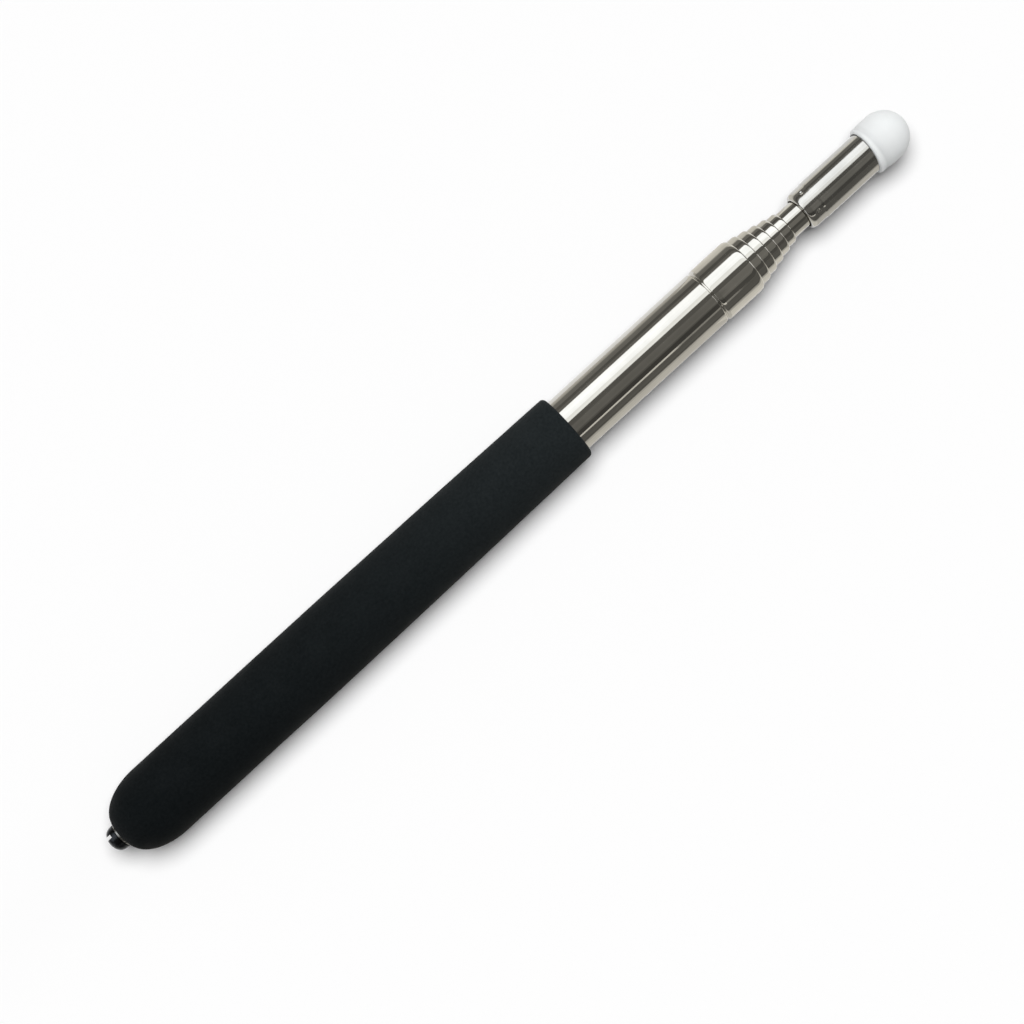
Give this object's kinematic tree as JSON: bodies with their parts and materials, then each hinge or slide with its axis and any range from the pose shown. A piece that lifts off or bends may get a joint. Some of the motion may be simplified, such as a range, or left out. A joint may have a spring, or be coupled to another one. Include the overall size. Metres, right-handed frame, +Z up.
{
  "type": "telescopic hand pointer",
  "caption": "Telescopic hand pointer with a black foam grip, polished steel sections that slide and turn in each other, and a white rubber dome as a soft touch tip.",
  "frame": {"origin": "on the surface that the grip lies on, under the middle of the pushed-together length", "axes": "+X along the pointer towards its white tip, +Z up, +Y to the left of the tip"},
  "size_m": [0.2084, 0.0158, 0.0157],
  "materials": {
    "grip_foam": "matte",
    "polished_steel": "polished",
    "plain_steel": "satin",
    "dark_steel": "satin",
    "brass": "satin",
    "spring_bronze": "satin",
    "white_rubber": "satin"
  },
  "bodies": {
    "handle": {"grip": "grip_foam", "end_screw": "dark_steel", "end_washer": "plain_steel", "end_plug": "brass", "outer_tube": "polished_steel", "mouth_bush": "brass"},
    "sleeve_2": {"stage_2_friction_sleeve": "spring_bronze"},
    "stage_2": {"stage_2_tube": "polished_steel"},
    "sleeve_3": {"stage_3_friction_sleeve": "spring_bronze"},
    "stage_3": {"stage_3_tube": "polished_steel"},
    "sleeve_4": {"stage_4_friction_sleeve": "spring_bronze"},
    "stage_4": {"stage_4_tube": "polished_steel"},
    "sleeve_5": {"stage_5_friction_sleeve": "spring_bronze"},
    "stage_5": {"stage_5_tube": "polished_steel"},
    "sleeve_6": {"stage_6_friction_sleeve": "spring_bronze"},
    "stage_6": {"stage_6_tube": "polished_steel"},
    "sleeve_7": {"stage_7_friction_sleeve": "spring_bronze"},
    "stage_7": {"stage_7_tube": "polished_steel", "tip_bush": "brass", "tip_holder": "polished_steel", "tip_cap": "white_rubber"}
  },
  "joints": [
    {"name": "stage_2_slide", "type": "slide", "parent": "handle", "child": "sleeve_2", "axis": [1, 0, 0], "range_m": [0, 0.1315]},
    {"name": "stage_2_turn", "type": "hinge", "parent": "sleeve_2", "child": "stage_2", "pos_m": [-0.08861, 0, 0.00787], "axis": [1, 0, 0], "continuous": true},
    {"name": "stage_3_slide", "type": "slide", "parent": "stage_2", "child": "sleeve_3", "axis": [1, 0, 0], "range_m": [0, 0.1429]},
    {"name": "stage_3_turn", "type": "hinge", "parent": "sleeve_3", "child": "stage_3", "pos_m": [-0.08861, 0, 0.00787], "axis": [1, 0, 0], "continuous": true},
    {"name": "stage_4_slide", "type": "slide", "parent": "stage_3", "child": "sleeve_4", "axis": [1, 0, 0], "range_m": [0, 0.1451]},
    {"name": "stage_4_turn", "type": "hinge", "parent": "sleeve_4", "child": "stage_4", "pos_m": [-0.08861, 0, 0.00787], "axis": [1, 0, 0], "continuous": true},
    {"name": "stage_5_slide", "type": "slide", "parent": "stage_4", "child": "sleeve_5", "axis": [1, 0, 0], "range_m": [0, 0.1472]},
    {"name": "stage_5_turn", "type": "hinge", "parent": "sleeve_5", "child": "stage_5", "pos_m": [-0.08861, 0, 0.00787], "axis": [1, 0, 0], "continuous": true},
    {"name": "stage_6_slide", "type": "slide", "parent": "stage_5", "child": "sleeve_6", "axis": [1, 0, 0], "range_m": [0, 0.1494]},
    {"name": "stage_6_turn", "type": "hinge", "parent": "sleeve_6", "child": "stage_6", "pos_m": [-0.08861, 0, 0.00787], "axis": [1, 0, 0], "continuous": true},
    {"name": "stage_7_slide", "type": "slide", "parent": "stage_6", "child": "sleeve_7", "axis": [1, 0, 0], "range_m": [0, 0.1516]},
    {"name": "stage_7_turn", "type": "hinge", "parent": "sleeve_7", "child": "stage_7", "pos_m": [-0.08861, 0, 0.00787], "axis": [1, 0, 0], "continuous": true}
  ]
}
